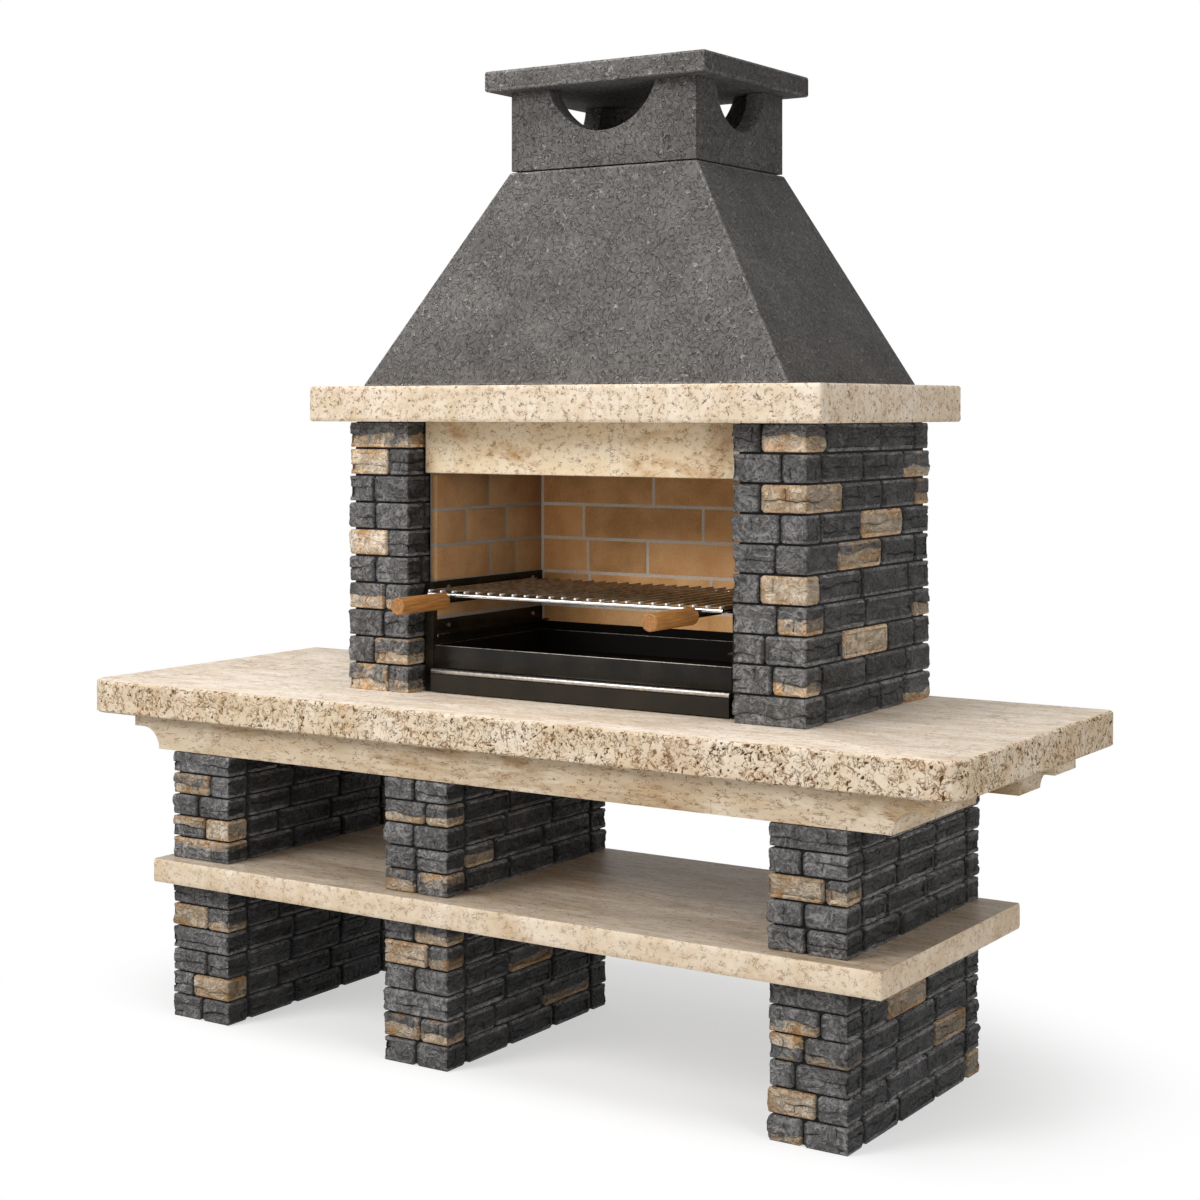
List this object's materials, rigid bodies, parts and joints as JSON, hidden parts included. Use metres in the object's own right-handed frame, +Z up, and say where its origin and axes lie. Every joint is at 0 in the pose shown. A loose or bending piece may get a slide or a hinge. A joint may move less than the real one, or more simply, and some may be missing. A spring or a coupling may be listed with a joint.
{
  "type": "masonry barbecue",
  "caption": "Free-standing masonry barbecue: stone piers, travertine shelf and worktop, brick-lined firebox with sliding grill, tray and ash drawer, hood and vented chimney.",
  "frame": {"origin": "on the floor under the middle of the worktop", "axes": "+Z up, +X to the right along the worktop, the front faces -Y"},
  "size_m": [2.15, 0.8, 2.1],
  "materials": {
    "ledge_stone": "rough split stone, anthracite with some tan stones",
    "travertine": "honed travertine with open pits",
    "dark_concrete": "dark trowelled cast concrete",
    "grey_concrete": "plain cast concrete",
    "mortar": "grey fire mortar",
    "firebrick": "matt tan firebrick",
    "black_enamel": "gloss black heat-proof enamel",
    "bright_steel": "zinc-plated screws",
    "chrome": "bright chrome plate",
    "grill_rod_steel": "heat-stained steel rod",
    "dark_steel": "dark forged steel",
    "beech": "varnished turned beech"
  },
  "bodies": {
    "root": {"left_lower_pier": "ledge_stone", "middle_lower_pier": "ledge_stone", "right_lower_pier": "ledge_stone", "left_upper_pier": "ledge_stone", "middle_upper_pier": "ledge_stone", "right_upper_pier": "ledge_stone", "firebox_left_wall": "ledge_stone", "firebox_right_wall": "ledge_stone", "shelf_slab": "travertine", "front_beam": "travertine", "rear_beam": "travertine", "worktop_slab": "travertine", "lintel_panel": "travertine", "mantel_slab": "travertine", "hood": "dark_concrete", "chimney_collar": "dark_concrete", "chimney_cap": "dark_concrete", "back_panel": "grey_concrete", "left_mortar_bed": "mortar", "right_mortar_bed": "mortar", "back_mortar_bed": "mortar", "left_brick_lining": "firebrick", "right_brick_lining": "firebrick", "back_brick_lining": "firebrick", "left_front_post": "black_enamel", "right_front_post": "black_enamel", "left_cheek_plate": "black_enamel", "right_cheek_plate": "black_enamel", "rear_plate": "black_enamel", "upper_left_rail": "black_enamel", "upper_right_rail": "black_enamel", "lower_left_rail": "black_enamel", "lower_right_rail": "black_enamel", "drawer_runners": "black_enamel", "tray_runners": "black_enamel", "rail_screws": "bright_steel"},
    "grill": {"grill_frame": "chrome", "grill_rods": "grill_rod_steel", "left_handle_tang": "dark_steel", "right_handle_tang": "dark_steel", "left_handle_grip": "beech", "right_handle_grip": "beech"},
    "tray": {"charcoal_tray": "black_enamel"},
    "drawer": {"ash_drawer": "black_enamel", "drawer_front": "black_enamel", "drawer_pull": "chrome"}
  },
  "joints": [
    {"name": "grill_slide", "type": "slide", "parent": "root", "child": "grill", "axis": [0, -1, 0], "range_m": [0, 0.3]},
    {"name": "tray_slide", "type": "slide", "parent": "root", "child": "tray", "axis": [0, -1, 0], "range_m": [0, 0.3]},
    {"name": "drawer_slide", "type": "slide", "parent": "root", "child": "drawer", "axis": [0, -1, 0], "range_m": [0, 0.32]}
  ]
}
